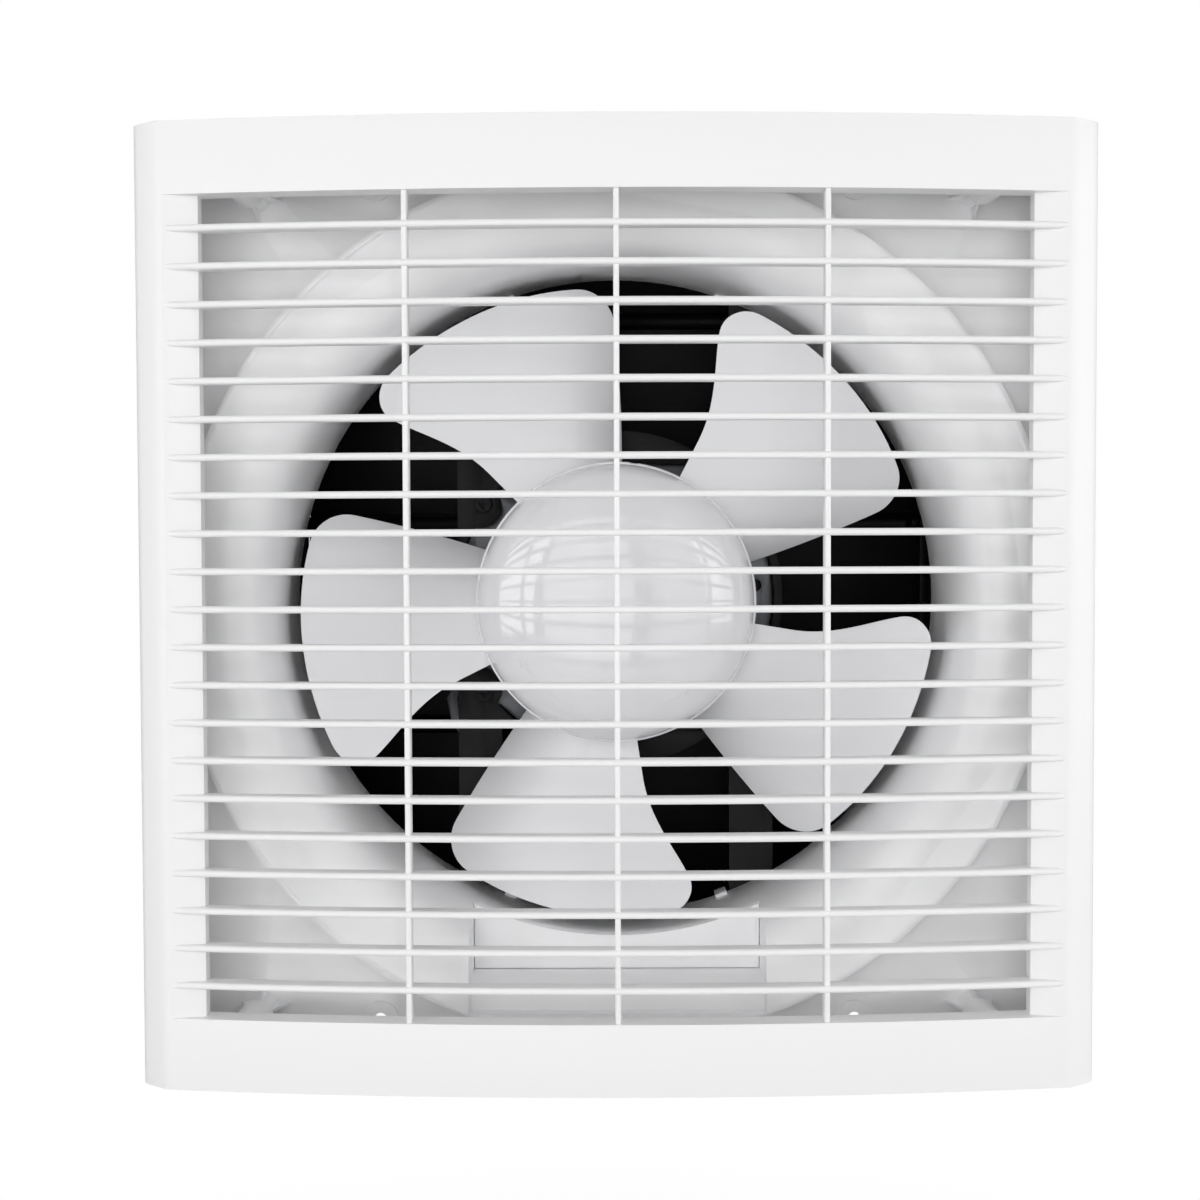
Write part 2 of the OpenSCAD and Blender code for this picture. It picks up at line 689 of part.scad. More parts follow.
module motor_screws() color(steel) {
    four(motor_ear[0], motor_ear[1]) difference() {
        union() {
            rod(ear_screw_r, bracket_y - 1, cap_y + 5.5);
            rod(3.4, bracket_y - 2.4, bracket_y);
        }
        translate([-2.4, bracket_y - 3, -0.4]) cube([4.8, 1.6, 0.8]);
        translate([-0.4, bracket_y - 3, -2.4]) cube([0.8, 1.6, 4.8]);
    }
}
module bearing(y) {
    race = 1.9;
    difference() {
        tube(shaft_r + shaft_gap, bearing_r, y, y + bearing_w);
        for (end = [y - 1, y + bearing_w - 0.8])
            tube(shaft_r + race, bearing_r - race, end, end + 1.8);
    }
}
module front_bearing() color(steel) bearing(bearing_front);
module rear_bearing() color(steel) bearing(bearing_rear);
module rotor_core() color("#77797c") {
    difference() {
        union() {
            rod(gap_r - 0.4, stack_y, rear_cap_y);
            for (y = [stack_y - 2, rear_cap_y]) tube(gap_r - 9, gap_r - 2, y, y + 2);
        }
        rod(shaft_r, stack_y - 3, rear_cap_y + 3);
    }
}
pin_y = hub_front + 15;
drive_pin_r = 1.5;
module shaft() color(steel) {
    difference() {
        union() {
            rod(shaft_r, hub_front - 0.15, motor_back - 1.3);
            rod(thread_r, spinner_front + 9, hub_front);
        }
        translate([0, pin_y, 0]) pin_x(drive_pin_r, -9, 9);
    }
}
module drive_pin() color(steel) translate([0, pin_y, 0]) pin_x(drive_pin_r, -9, 9);

// Impeller

function smooth(t) = let (s = max(0, min(1, t))) s * s * (3 - 2 * s);
blade_r = throat_r - tip_gap;
blade_root = hub_r - 1.2;
// Share of the blade's depth in its even slope, the rest is the curl at its trailing edge
blade_even = 0.4;
// Share of a blade's width that each rounded corner takes
corner_v = blade_corner / (blade_r * (blade_arc + blade_sweep - blade_lean) * PI / 180);
// Outer radius of a blade, from its leading edge at v = 0 to its trailing edge at v = 1
function blade_tip(v) = let (w = max(0, 1 - min(v, 1 - v) / corner_v))
    blade_r - blade_corner * (1 - sqrt(1 - w * w));
function blade_rad(u, v) = blade_root + u * (blade_tip(v) - blade_root);
function blade_lead(r) = blade_arc + blade_sweep * smooth((r - hub_r - 16) / (blade_r - hub_r - 21));
function blade_trail(r) = blade_lean * (r - hub_r) / (blade_r - hub_r);
function blade_angle(r, v) = (1 - v) * blade_lead(r) + v * blade_trail(r);
function blade_y(v) = blade_front
    + (blade_back - blade_front) * (blade_even * v + (1 - blade_even) * pow(v, 4));
function blade_thick(u, v) = blade_t * (1 - 0.35 * u) * (0.5 + 0.5 * sin(180 * v));
function blade_point(u, v, back) = let (r = blade_rad(u, v), a = blade_angle(r, v))
    [r * cos(a), blade_y(v) + (back ? blade_thick(u, v) + 0.3 : 0), r * sin(a)];
across = 8;
along = 16;
module blade() {
    row = along + 1;
    n = (across + 1) * row;
    function f(i, j) = i * row + j;
    function b(i, j) = n + f(i, j);
    function two(p, q, r, s) = [[p, q, r], [p, r, s]];
    polyhedron(
        points = [for (back = [false, true]) for (i = [0 : across]) for (j = [0 : along])
            blade_point(i / across, (1 - cos(180 * j / along)) / 2, back)],
        faces = concat(
            [for (i = [0 : across - 1]) for (j = [0 : along - 1])
                each two(f(i, j), f(i + 1, j), f(i + 1, j + 1), f(i, j + 1))],
            [for (i = [0 : across - 1]) for (j = [0 : along - 1])
                each two(b(i, j), b(i, j + 1), b(i + 1, j + 1), b(i + 1, j))],
            [for (i = [0 : across - 1])
                each two(f(i + 1, 0), f(i, 0), b(i, 0), b(i + 1, 0))],
            [for (i = [0 : across - 1])
                each two(f(i, along), f(i + 1, along), b(i + 1, along), b(i, along))],
            [for (j = [0 : along - 1])
                each two(f(across, j + 1), f(across, j), b(across, j), b(across, j + 1))],
            [for (j = [0 : along - 1])
                each two(f(0, j), f(0, j + 1), b(0, j + 1), b(0, j))]));
}
hub_wall = 2.5;
boss_r = 11;
module impeller() color("#e6e6e7") {
    difference() {
        union() {
            difference() {
                rod(hub_r, hub_front, hub_front + hub_depth);
                rod(hub_r - hub_wall, hub_front + hub_wall, far);
            }
            rod(boss_r, hub_front, pin_y + 3);
            for (k = [0 : blade_count - 1]) rotate([0, k * 360 / blade_count, 0])
                translate([boss_r - 1, hub_front + 1, -1]) cube([hub_r - boss_r - 0.5, 12, 2]);
        }
        rod(shaft_r + shaft_gap, hub_front - 1, far);
        translate([-boss_r - 1, pin_y - drive_pin_r, -drive_pin_r - 0.1])
            cube([2 * boss_r + 2, 10, 2 * drive_pin_r + 0.2]);
    }
    for (k = [0 : blade_count - 1]) rotate([0, -blade_turn - k * 360 / blade_count, 0]) blade();
}
module captive_washer() color(steel) tube(thread_r + 0.3, boss_r - 1, washer_y, washer_y + washer_t);

// Spinner, the cap that screws on the shaft and clamps the impeller

spinner_r = hub_r;
spinner_lip = 3;
dome_power = 0.87;
function dome(t, w) = [(spinner_r - w) * pow(cos(t), dome_power),
    spinner_rim - spinner_lip - (spinner_depth - spinner_lip - w) * pow(sin(t), dome_power)];
nut_r = 6;
nut_front = spinner_front + 11;
nut_back = spinner_rim - 1.5;
dome_steps = 20;
module spinner() color("#e9e8ea") {
    difference() {
        turned() polygon(concat([[0, spinner_rim], [spinner_r, spinner_rim]],
            [for (i = [0 : dome_steps]) dome(90 * i / dome_steps, 0)]));
        difference() {
            turned() polygon(concat(
                [[0, spinner_rim + 1], [spinner_r - spinner_wall, spinner_rim + 1]],
                [for (i = [0 : dome_steps]) dome(90 * i / dome_steps, spinner_wall)]));
            rod(boss_r, -far, spinner_rim);
        }
        rod(nut_r, nut_front, spinner_rim + 1);
        rod(thread_r + 0.6, spinner_front + 7, spinner_rim + 1);
    }
}
module spinner_nut() color("#c2a04c") {
    tube(thread_r + shaft_gap, nut_r, nut_front, nut_back);
}

// Backdraft flaps, joined by a link bar

bar_x = flap_half - 3.6;
arm_t = 3;
module flap(i) color(black) {
    translate([0, hinge_y, hinge_z[i]]) {
        pin_x(roll_r, -flap_half, flap_half);
        for (side = [0, 1]) mirror([side, 0, 0]) pin_x(pin_r, flap_half - 1, casing_in / 2 - 2.4);
        translate([-flap_half, 1.5, -flap_pitch + roll_r + 1.5])
            cube([2 * flap_half, flap_t, flap_pitch - roll_r - 1.5]);
        // Lip behind the next flap's roll
        if (i < flap_count - 1) {
            translate([-flap_half, lip_y, lip_z - flap_pitch])
                cube([2 * flap_half, flap_t, roll_r + 3.3 - lip_z]);
            translate([-flap_half, 1.5, roll_r + 1.5 - flap_pitch])
                cube([2 * flap_half, lip_y - 1, 1.8]);
        }
        // Crank arm with its pin
        translate([bar_x - arm_t - 0.4, -crank, -3]) cube([arm_t, crank, 6]);
        translate([0, -crank, 0]) {
            pin_x(3, bar_x - arm_t - 0.4, bar_x - 0.4);
            pin_x(pin_r, bar_x - 1, bar_x + 3.4);
        }
    }
}
module flap_top() flap(0);
module flap_middle() flap(1);
module flap_bottom() flap(2);
module flap_bushes() color(white) {
    for (z = hinge_z) for (side = [0, 1]) mirror([side, 0, 0]) translate([0, hinge_y, z]) difference() {
        union() {
            pin_x(bush_r, flap_half + 0.6, casing_in / 2 - 0.3);
            pin_x(bush_r + bush_flange, flap_half + 0.6, casing_in / 2 - 5);
        }
        pin_x(pin_r + pin_gap, flap_half, casing_in / 2 - 1.8);
    }
}
module link_bar() color(black) {
    difference() {
        union() {
            translate([bar_x, hinge_y - crank - 2.5, hinge_z[2]])
                cube([3, 5, hinge_z[0] - hinge_z[2]]);
            for (z = hinge_z) translate([0, hinge_y - crank, z]) pin_x(4, bar_x, bar_x + 3);
        }
        for (z = hinge_z) translate([0, hinge_y - crank, z]) pin_x(pin_r + pin_gap, bar_x - 1, bar_x + 4);
    }
}

front_grille();
body_frame();
terminal_cover();
terminal_block();
terminal_screws();
capacitor();
cable_grommet();
motor_lead();
lead_clips();
motor_bracket();
rear_casing();
frame_screws();
motor_front_cap();
motor_rear_cap();
stator_core();
stator_windings();
motor_screws();
front_bearing();
rear_bearing();
rotor_core();
shaft();
drive_pin();
impeller();
captive_washer();
spinner();
spinner_nut();
flap_top();
flap_middle();
flap_bottom();
flap_bushes();
link_bar();
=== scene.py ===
import math

import bmesh
import bpy
from mathutils import Matrix, Vector


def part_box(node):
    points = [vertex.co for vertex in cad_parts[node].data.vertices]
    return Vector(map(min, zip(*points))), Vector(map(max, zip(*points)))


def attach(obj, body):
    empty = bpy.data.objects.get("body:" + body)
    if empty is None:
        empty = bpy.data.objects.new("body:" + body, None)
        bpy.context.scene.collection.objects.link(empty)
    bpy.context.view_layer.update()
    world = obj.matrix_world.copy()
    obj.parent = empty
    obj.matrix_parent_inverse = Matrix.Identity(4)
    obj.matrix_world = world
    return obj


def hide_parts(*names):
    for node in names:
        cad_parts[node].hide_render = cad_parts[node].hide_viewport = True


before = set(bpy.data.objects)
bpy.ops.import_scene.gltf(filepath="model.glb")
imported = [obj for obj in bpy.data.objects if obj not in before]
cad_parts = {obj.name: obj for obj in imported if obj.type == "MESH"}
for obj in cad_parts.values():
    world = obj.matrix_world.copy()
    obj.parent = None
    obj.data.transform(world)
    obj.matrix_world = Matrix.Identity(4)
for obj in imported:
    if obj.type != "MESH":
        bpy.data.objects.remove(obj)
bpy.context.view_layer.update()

MM = 0.001

# Camera
# The photograph looks straight at the louvre from a little above the rotor's axis, at
# about 65 cm. The lens is a normal one, so that the casing behind is hidden.
camera_place = Vector((-3.8, -655.5, 24.2)) * MM
camera_yaw = math.radians(0.2)
camera_down = math.radians(2.0)
camera_roll = math.radians(-0.18)
camera_lens = 52.1

level_right = Vector((math.cos(camera_yaw), math.sin(camera_yaw), 0))
level_ahead = Vector((-math.sin(camera_yaw), math.cos(camera_yaw), 0))
sight = level_ahead * math.cos(camera_down) - Vector((0, 0, math.sin(camera_down)))
upright = level_ahead * math.sin(camera_down) + Vector((0, 0, math.cos(camera_down)))
right = level_right * math.cos(camera_roll) + upright * math.sin(camera_roll)
up = upright * math.cos(camera_roll) - level_right * math.sin(camera_roll)
camera = bpy.data.objects.new("camera", bpy.data.cameras.new("camera"))
camera.data.lens = camera_lens
camera.data.sensor_width = 36
camera.data.clip_start = 0.02
camera.matrix_world = Matrix.Translation(camera_place) @ Matrix(
    (right, up, -sight)).transposed().to_4x4()
bpy.context.scene.collection.objects.link(camera)
bpy.context.scene.camera = camera

# Light and surroundings
# A product shot in a white tent: three big soft boxes stand before the fan, to the left, in
# front and to the right, and a narrow one grazes its right side. Three white cards show in the
# gloss alone: a tall one at the left, and two in front with a gap between them.


def paint(code):
    """Linear colour, with alpha, of an sRGB hex code."""
    parts = [int(code[i:i + 2], 16) / 255 for i in (1, 3, 5)]
    return tuple(c / 12.92 if c <= 0.04045 else ((c + 0.055) / 1.055) ** 2.4 for c in parts) + (1,)


def add_node(tree, kind, settings=(), links=(), **values):
    """Adds a node, sets its properties and sockets, and links sockets to other nodes' outputs."""
    node = tree.nodes.new(kind)
    for name, value in dict(settings).items():
        setattr(node, name, value)
    for name, value in values.items():
        node.inputs[name.replace("_", " ")].default_value = value
    for name, source in dict(links).items():
        tree.links.new(source, node.inputs[name])
    return node


def soft_panel(name, place, aim, width, height, watts, lights=True, mirrored=True):
    """A rectangular soft light that faces a point, and lights surfaces, shows in gloss, or both."""
    lamp = bpy.data.lights.new(name, "AREA")
    lamp.shape = "RECTANGLE"
    lamp.size = width
    lamp.size_y = height
    lamp.energy = watts
    panel = bpy.data.objects.new(name, lamp)
    panel.location = place
    panel.rotation_euler = (Vector(aim) - Vector(place)).to_track_quat("-Z", "Y").to_euler()
    panel.visible_diffuse = lights
    panel.visible_glossy = mirrored
    bpy.context.scene.collection.objects.link(panel)


soft_panel("panel_front", (-0.15, -1.65, 0.14), (0, 0, 0), 0.9, 0.9, 11.2, mirrored=False)
soft_panel("panel_left", (-1.25, -0.85, 0.35), (0, 0, 0), 0.9, 1.2, 7.2, mirrored=False)
soft_panel("panel_right", (1.25, -0.85, 0.3), (0, 0, 0), 0.9, 1.2, 5.5)
soft_panel("panel_side", (1.7, -0.12, 0.2), (0.17, 0, 0), 0.6, 1.0, 8.5)
soft_panel("card_left", (-1.45, -0.8, 0.3), (0, 0, 0), 1.8, 1.6, 18, lights=False)
soft_panel("card_front", (-0.36, -1.65, 0.1), (-0.36, 0, 0.1), 1.0, 2.4, 8, lights=False)
soft_panel("card_beside", (1.3, -1.65, 0.1), (1.3, 0, 0.1), 2.0, 2.4, 10, lights=False)

world = bpy.data.worlds.new("tent")
bpy.context.scene.world = world
world.use_nodes = True
world.node_tree.nodes.clear()
tent_light = 0.24
rays = add_node(world.node_tree, "ShaderNodeLightPath")
seen = add_node(world.node_tree, "ShaderNodeMath", {"operation": "MAXIMUM"},
                {0: rays.outputs["Is Camera Ray"], 1: rays.outputs["Is Transmission Ray"]})
strength = add_node(world.node_tree, "ShaderNodeMapRange", (), {"Value": seen.outputs[0]},
                    To_Min=tent_light, To_Max=1.0)
tent = add_node(world.node_tree, "ShaderNodeBackground", (), {"Strength": strength.outputs[0]},
                Color=(1, 1, 1, 1))
add_node(world.node_tree, "ShaderNodeOutputWorld", (), {"Surface": tent.outputs[0]})
bpy.context.scene.view_settings.view_transform = "Standard"

# Floor
# A sheet of white card well below the fan, which hangs on its wall screws. It keeps a faint
# shadow and otherwise shows as the background.
floor_depth = 0.62
floor_half = 6.0
floor_ahead = 1.5
floor_glow = 0.88
glow_from = 0.7
glow_full = 1.3
sheet = bmesh.new()
bmesh.ops.create_grid(sheet, x_segments=1, y_segments=1, size=floor_half,
                      matrix=Matrix.Translation((0, floor_half - floor_ahead, -floor_depth)))
floor_mesh = bpy.data.meshes.new("floor")
sheet.to_mesh(floor_mesh)
floor = bpy.data.objects.new("floor", floor_mesh)
bpy.context.scene.collection.objects.link(floor)


def bare_material(name):
    """A new material with no nodes yet."""
    material = bpy.data.materials.new(name)
    material.use_nodes = True
    material.node_tree.nodes.clear()
    return material


card = bare_material("white card")
rays = add_node(card.node_tree, "ShaderNodeLightPath")
paper = add_node(card.node_tree, "ShaderNodeBsdfDiffuse", Color=paint("#E0E0E0"))
glow = add_node(card.node_tree, "ShaderNodeEmission", Color=(1, 1, 1, 1), Strength=1.0)
spot = add_node(card.node_tree, "ShaderNodeTexCoord")
reach = add_node(card.node_tree, "ShaderNodeVectorMath", {"operation": "LENGTH"},
                 {0: spot.outputs["Object"]})
fade = add_node(card.node_tree, "ShaderNodeMapRange", (), {"Value": reach.outputs["Value"]},
                From_Min=glow_from, From_Max=glow_full, To_Min=floor_glow, To_Max=1.0)
share = add_node(card.node_tree, "ShaderNodeMath", {"operation": "MULTIPLY"},
                 {0: rays.outputs["Is Camera Ray"], 1: fade.outputs[0]})
blend = add_node(card.node_tree, "ShaderNodeMixShader", (),
                 {0: share.outputs[0], 1: paper.outputs[0], 2: glow.outputs[0]})
add_node(card.node_tree, "ShaderNodeOutputMaterial", (), {"Surface": blend.outputs[0]})
floor_mesh.materials.append(card)

# Front cover
# The pull-off cover is one moulding of white ABS: a square shell whose face bulges as a
# shallow barrel, with a window, sloping scoops beside it, slats, upright bars and sockets.
cover_low, cover_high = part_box("front_grille")
cover_half = cover_high.x
cover_front = -cover_low.y
cover_rear = -cover_high.y
shoulder = 40 * MM
crease_x = 160 * MM
crease_y = 47.5 * MM
crease_round = 2.4 * MM
cover_wall = 2.4 * MM
window_half_w = 146 * MM
window_half_h = 144.5 * MM
scoop_w = 12 * MM
scoop_x = window_half_w + scoop_w
scoop_depth = 4 * MM
return_depth = 10 * MM
barrel_rise = cover_front - crease_y
barrel_r = (crease_x ** 2 + barrel_rise ** 2) / (2 * barrel_rise)


def abs_plastic(name, code, rough, shade=0.03, grain=0.25, shine=0.5):
    """Injection-moulded plastic: even colour with faint flow clouds, and a fine spark-eroded
    texture that breaks up reflections."""
    material = bare_material(name)
    tree = material.node_tree
    coords = add_node(tree, "ShaderNodeTexCoord")
    # Clouds about 60 mm across, and a grain of about 0.5 mm drawn as coarse as it shows
    clouds = add_node(tree, "ShaderNodeTexNoise", (), {"Vector": coords.outputs["Object"]},
                      Scale=1 / 0.06, Detail=3.0)
    fine = add_node(tree, "ShaderNodeTexNoise", (), {"Vector": coords.outputs["Object"]},
                    Scale=1 / 0.0005, Detail=2.0)
    base = paint(code)
    dark = tuple(c * (1 - shade) for c in base[:3]) + (1,)
    colour = add_node(tree, "ShaderNodeMix", {"data_type": "RGBA"}, {0: clouds.outputs[0]})
    colour.inputs[6].default_value = dark
    colour.inputs[7].default_value = base
    gloss = add_node(tree, "ShaderNodeMapRange", (), {"Value": clouds.outputs[0]},
                     To_Min=rough * 0.85, To_Max=rough * 1.15)
    bump = add_node(tree, "ShaderNodeBump", (), {"Height": fine.outputs[0]},
                    Strength=grain, Distance=0.00005)
    shader = add_node(tree, "ShaderNodeBsdfPrincipled", (),
                      {"Base Color": colour.outputs[2], "Roughness": gloss.outputs[0],
                       "Normal": bump.outputs[0]}, IOR=1.53, Specular_IOR_Level=shine)
    add_node(tree, "ShaderNodeOutputMaterial", (), {"Surface": shader.outputs[0]})
    return material


def make_piece(name, bm, material, body, *replaced, smooth=40):
    """Turns a finished bmesh into a piece that rides on a body and stands for CAD nodes."""
    mesh = bpy.data.meshes.new(name)
    for face in bm.faces:
        face.smooth = True
    for edge in bm.edges:
        edge.smooth = edge.calc_face_angle(math.pi) < math.radians(smooth)
    bm.to_mesh(mesh)
    bm.free()
    mesh.materials.append(material)
    piece = bpy.data.objects.new(name, mesh)
    bpy.context.scene.collection.objects.link(piece)
    if body:
        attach(piece, body)
        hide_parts(*replaced)
    return piece


def barrel_y(x):
    """Depth of the cover's face at a distance x from its middle."""
    return barrel_r - cover_front - math.sqrt(barrel_r ** 2 - x * x)


def turned_corner(start, corner, end, steps=4):
    """Points of a rounded corner between two straight stretches."""
    points = []
    for i in range(steps + 1):
        t = i / steps
        points.append(tuple(a * (1 - t) ** 2 + 2 * b * t * (1 - t) + c * t * t
                            for a, b, c in zip(start, corner, end)))
    return points


# Painted shade: the cover is the same white ABS as the frame, painted a little darker so that its
# brightly lit face does not outshine the recess behind the slats.
cover_white_with_painted_shade = abs_plastic("white moulded ABS with painted shade", "#F0F0F0", 0.42, shade=0.012, shine=0.24)


def cover_outline():
    """Half of the cover's outline from above, from the middle of its face to its back edge."""
    xs = [window_half_w * i / 14 for i in range(15)]
    xs += [window_half_w + scoop_w * i / 4 for i in range(1, 5)]
    points = [(x, barrel_y(x)) for x in xs]
    flat_end = crease_x - 1.4 * MM
    ahead = (flat_end, barrel_y(flat_end))
    slope = (shoulder - crease_y) / (cover_half - crease_x)
    crease = (crease_x, -crease_y)
    beyond = (crease_x + crease_round, -crease_y - crease_round * slope)
    before = (cover_half - crease_round, -shoulder + crease_round * slope)
    points += turned_corner(ahead, crease, beyond)
    points += turned_corner(before, (cover_half, -shoulder), (cover_half, -shoulder + 3 * MM))
    points.append((cover_half, -cover_rear))
    return points


# Rounding of the cover's edges, and the share of it that each kind of edge takes
edge_round = 5.5 * MM
lid_round = 0.42
window_round = 0.14
return_round = 0.12
scoop_round = 0.1


def cover_shell():
    """Skin of the cover with its window, scoops and return walls, before it gets its wall."""
    bm = bmesh.new()
    half = cover_outline()
    outline = [(-x, y) for x, y in reversed(half[1:])] + half
    rows = [-cover_half, -window_half_h, window_half_h, cover_half]
    weight = bm.edges.layers.float.new("bevel_weight_edge")
    grid = [[bm.verts.new((x, y, z)) for x, y in outline] for z in rows]
    for k in range(3):
        for i in range(len(outline) - 1):
            inside = abs(outline[i][0] + outline[i + 1][0]) / 2 < scoop_x
            if k == 1 and inside:
                continue
            bm.faces.new((grid[k][i], grid[k][i + 1], grid[k + 1][i + 1], grid[k + 1][i]))
    # Lids at the top and bottom
    last = len(outline) - 1
    for row in (grid[0], grid[3]):
        z = row[0].co.z
        rear = [row[0], row[0]] + [bm.verts.new((x, -cover_rear, z)) for x, y in outline[2:last - 1]]
        rear += [row[last], row[last]]
        for i in range(1, last - 1):
            face = [row[i], row[i + 1], rear[i + 1], rear[i]]
            bm.faces.new([v for n, v in enumerate(face) if v not in face[:n]])
        for i in range(1, last - 1):
            edge = bm.edges.get((row[i], row[i + 1]))
            edge[weight] = lid_round
        for a, b in ((row[0], row[1]), (row[last - 1], row[last])):
            bm.edges.get((a, b))[weight] = 1.0
    # Walls that go in from the window's edges
    inner = [i for i, (x, y) in enumerate(outline) if abs(x) <= scoop_x + 1e-9]

    def sunk(x):
        """Depth of the scoop's slope below the face."""
        return scoop_depth * min(1, (scoop_x - abs(x)) / scoop_w)

    for row in (grid[1], grid[2]):
        z = row[0].co.z
        ledge = [row[i] if abs(row[i].co.x) > scoop_x - 1e-6 else
                 bm.verts.new((row[i].co.x, row[i].co.y + sunk(row[i].co.x), z)) for i in inner]
        for n in range(len(inner) - 1):
            face = [row[inner[n]], row[inner[n + 1]], ledge[n + 1], ledge[n]]
            bm.faces.new([v for m, v in enumerate(face) if v not in face[:m]])
            edge = bm.edges.get((row[inner[n]], row[inner[n + 1]]))
            edge[weight] = window_round
        deep = [bm.verts.new((v.co.x, barrel_y(v.co.x) + return_depth, z)) for v in ledge[4:-4]]
        for n in range(len(deep) - 1):
            bm.faces.new((ledge[4 + n], ledge[5 + n], deep[n + 1], deep[n]))
        row_ends = (ledge[:5], ledge[-5:][::-1])
        if z < 0:
            low_ends, low_deep = row_ends, (deep[0], deep[-1])
        else:
            for low, high, low_in, high_in in zip(low_ends, row_ends, low_deep, (deep[0], deep[-1])):
                for n in range(4):
                    bm.faces.new((low[n], low[n + 1], high[n + 1], high[n]))
                bm.faces.new((low[4], low_in, high_in, high[4]))
                bm.edges.get((low[4], high[4]))[weight] = return_round
                bm.edges.get((low[0], high[0]))[weight] = scoop_round
    bmesh.ops.recalc_face_normals(bm, faces=bm.faces)
    top_band = Vector((0, -cover_front, (window_half_h + cover_half) / 2))
    middle = min(bm.faces, key=lambda f: (f.calc_center_median() - top_band).length)
    if middle.normal.y > 0:
        bmesh.ops.reverse_faces(bm, faces=bm.faces)
    return bm


def finish_modifiers(piece):
    """Applies a piece's modifiers and keeps the plain mesh."""
    bpy.context.view_layer.update()
    shaped = piece.evaluated_get(bpy.context.evaluated_depsgraph_get())
    mesh = bpy.data.meshes.new_from_object(shaped)
    piece.modifiers.clear()
    piece.data = mesh


shell = make_piece("cover_shell", cover_shell(), cover_white_with_painted_shade, "")
round_off = shell.modifiers.new("round_off", "BEVEL")
round_off.limit_method = "WEIGHT"
round_off.width = edge_round
round_off.segments = 5
wall = shell.modifiers.new("wall", "SOLIDIFY")
wall.thickness = cover_wall
wall.offset = -1
finish_modifiers(shell)
for poly in shell.data.polygons:
    poly.use_smooth = True
shell.data.set_sharp_from_angle(angle=math.radians(38))
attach(shell, "cover")
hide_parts("front_grille")


slat_count = 21
slat_t = 2.5 * MM
slat_depth = 8 * MM
slat_end = 0.87
slat_pitch = 2 * window_half_h / (slat_count - 1 + 2 * slat_end)


def slat_mesh():
    """One slat: a rounded front edge that follows the barrel and runs out over the scoops."""
    bm = bmesh.new()
    reach = scoop_x + 0.6 * MM
    steps = 34
    stations = [reach * (i / steps) for i in range(-steps, steps + 1)]
    half = slat_t / 2
    rings = []
    for x in stations:
        front = barrel_y(x) + 0.15 * MM
        over = max(0.0, abs(x) - window_half_w) / scoop_w
        deep = front + slat_depth
        if over > 0:
            deep = barrel_y(x) + scoop_depth * max(0, 1 - over) + 1.2 * MM
        arc = [(front + half * (1 - math.sin(a)), half * math.cos(a))
               for a in [math.pi * k / 8 for k in range(9)]]
        ring = arc + [(deep, -half * 0.8), (deep, half * 0.8)]
        rings.append([bm.verts.new((x, y, z)) for y, z in ring])
    count = len(rings[0])
    for a, b in zip(rings, rings[1:]):
        for k in range(count):
            bm.faces.new((a[k], a[(k + 1) % count], b[(k + 1) % count], b[k]))
    bm.faces.new(rings[0])
    bm.faces.new(rings[-1])
    bmesh.ops.recalc_face_normals(bm, faces=bm.faces)
    return bm


def mesh_tree(name, **values):
    """Node tree that takes a mesh and named values of stated kinds, and gives a mesh."""
    tree = bpy.data.node_groups.new(name, "GeometryNodeTree")
    tree.interface.new_socket("Geometry", in_out="INPUT", socket_type="NodeSocketGeometry")
    for value, kind in values.items():
        tree.interface.new_socket(value, in_out="INPUT", socket_type="NodeSocket" + kind)
    tree.interface.new_socket("Geometry", in_out="OUTPUT", socket_type="NodeSocketGeometry")
    return tree


def end_tree(tree, given, spread):
    """Ends a tree in real geometry with its material set."""
    real = add_node(tree, "GeometryNodeRealizeInstances", (), {0: spread.outputs[0]})
    dressed = add_node(tree, "GeometryNodeSetMaterial", (),
                       {"Geometry": real.outputs[0], "Material": given.outputs["Material"]})
    add_node(tree, "NodeGroupOutput", (), {0: dressed.outputs[0]})
    return tree


def row_tree():
    """Node tree that repeats its input along a straight line."""
    tree = mesh_tree("in a row", Count="Int", Start="Vector", Step="Vector", Material="Material")
    given = add_node(tree, "NodeGroupInput")
    line = add_node(tree, "GeometryNodeMeshLine", {"mode": "OFFSET"},
                    {"Count": given.outputs["Count"], "Start Location": given.outputs["Start"],
                     "Offset": given.outputs["Step"]})
    spread = add_node(tree, "GeometryNodeInstanceOnPoints", (),
                      {"Points": line.outputs[0], "Instance": given.outputs["Geometry"]})
    return end_tree(tree, given, spread)


def repeat(piece, tree, **values):
    """Runs a piece through a node tree with named inputs and keeps the plain mesh."""
    pattern = piece.modifiers.new("pattern", "NODES")
    pattern.node_group = tree
    for item in tree.interface.items_tree:
        if item.in_out == "INPUT" and item.name in values:
            pattern[item.identifier] = values[item.name]
    finish_modifiers(piece)


in_a_row = row_tree()
slats = make_piece("cover_slats", slat_mesh(), cover_white_with_painted_shade, "")
repeat(slats, in_a_row, Count=slat_count, Start=(0, 0, slat_end * slat_pitch - window_half_h),
       Step=(0, 0, slat_pitch), Material=cover_white_with_painted_shade)
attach(slats, "cover")
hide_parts("front_grille")


def block(bm, low, high):
    """Adds a box between two corners to a bmesh."""
    low, high = Vector(low), Vector(high)
    made = bmesh.ops.create_cube(bm, size=1, matrix=Matrix.Translation((low + high) / 2)
                                 @ Matrix.Diagonal((*(high - low), 1)))
    return made["verts"]


bar_t = 2 * MM
bar_depth = 6.5 * MM
bar_set_back = 1 * MM


def bars_mesh():
    """Upright bars behind the slats' fronts."""
    bm = bmesh.new()
    for i in (-1, 0, 1):
        x = i * window_half_w / 2
        front = barrel_y(x) + bar_set_back
        end = window_half_h + 1 * MM
        block(bm, (x - bar_t / 2, front, -end), (x + bar_t / 2, front + bar_depth, end))
    bmesh.ops.bevel(bm, geom=bm.edges[:], offset=0.6 * MM, segments=3, affect="EDGES", profile=0.5)
    return bm


make_piece("cover_bars", bars_mesh(), cover_white_with_painted_shade, "cover", "front_grille")


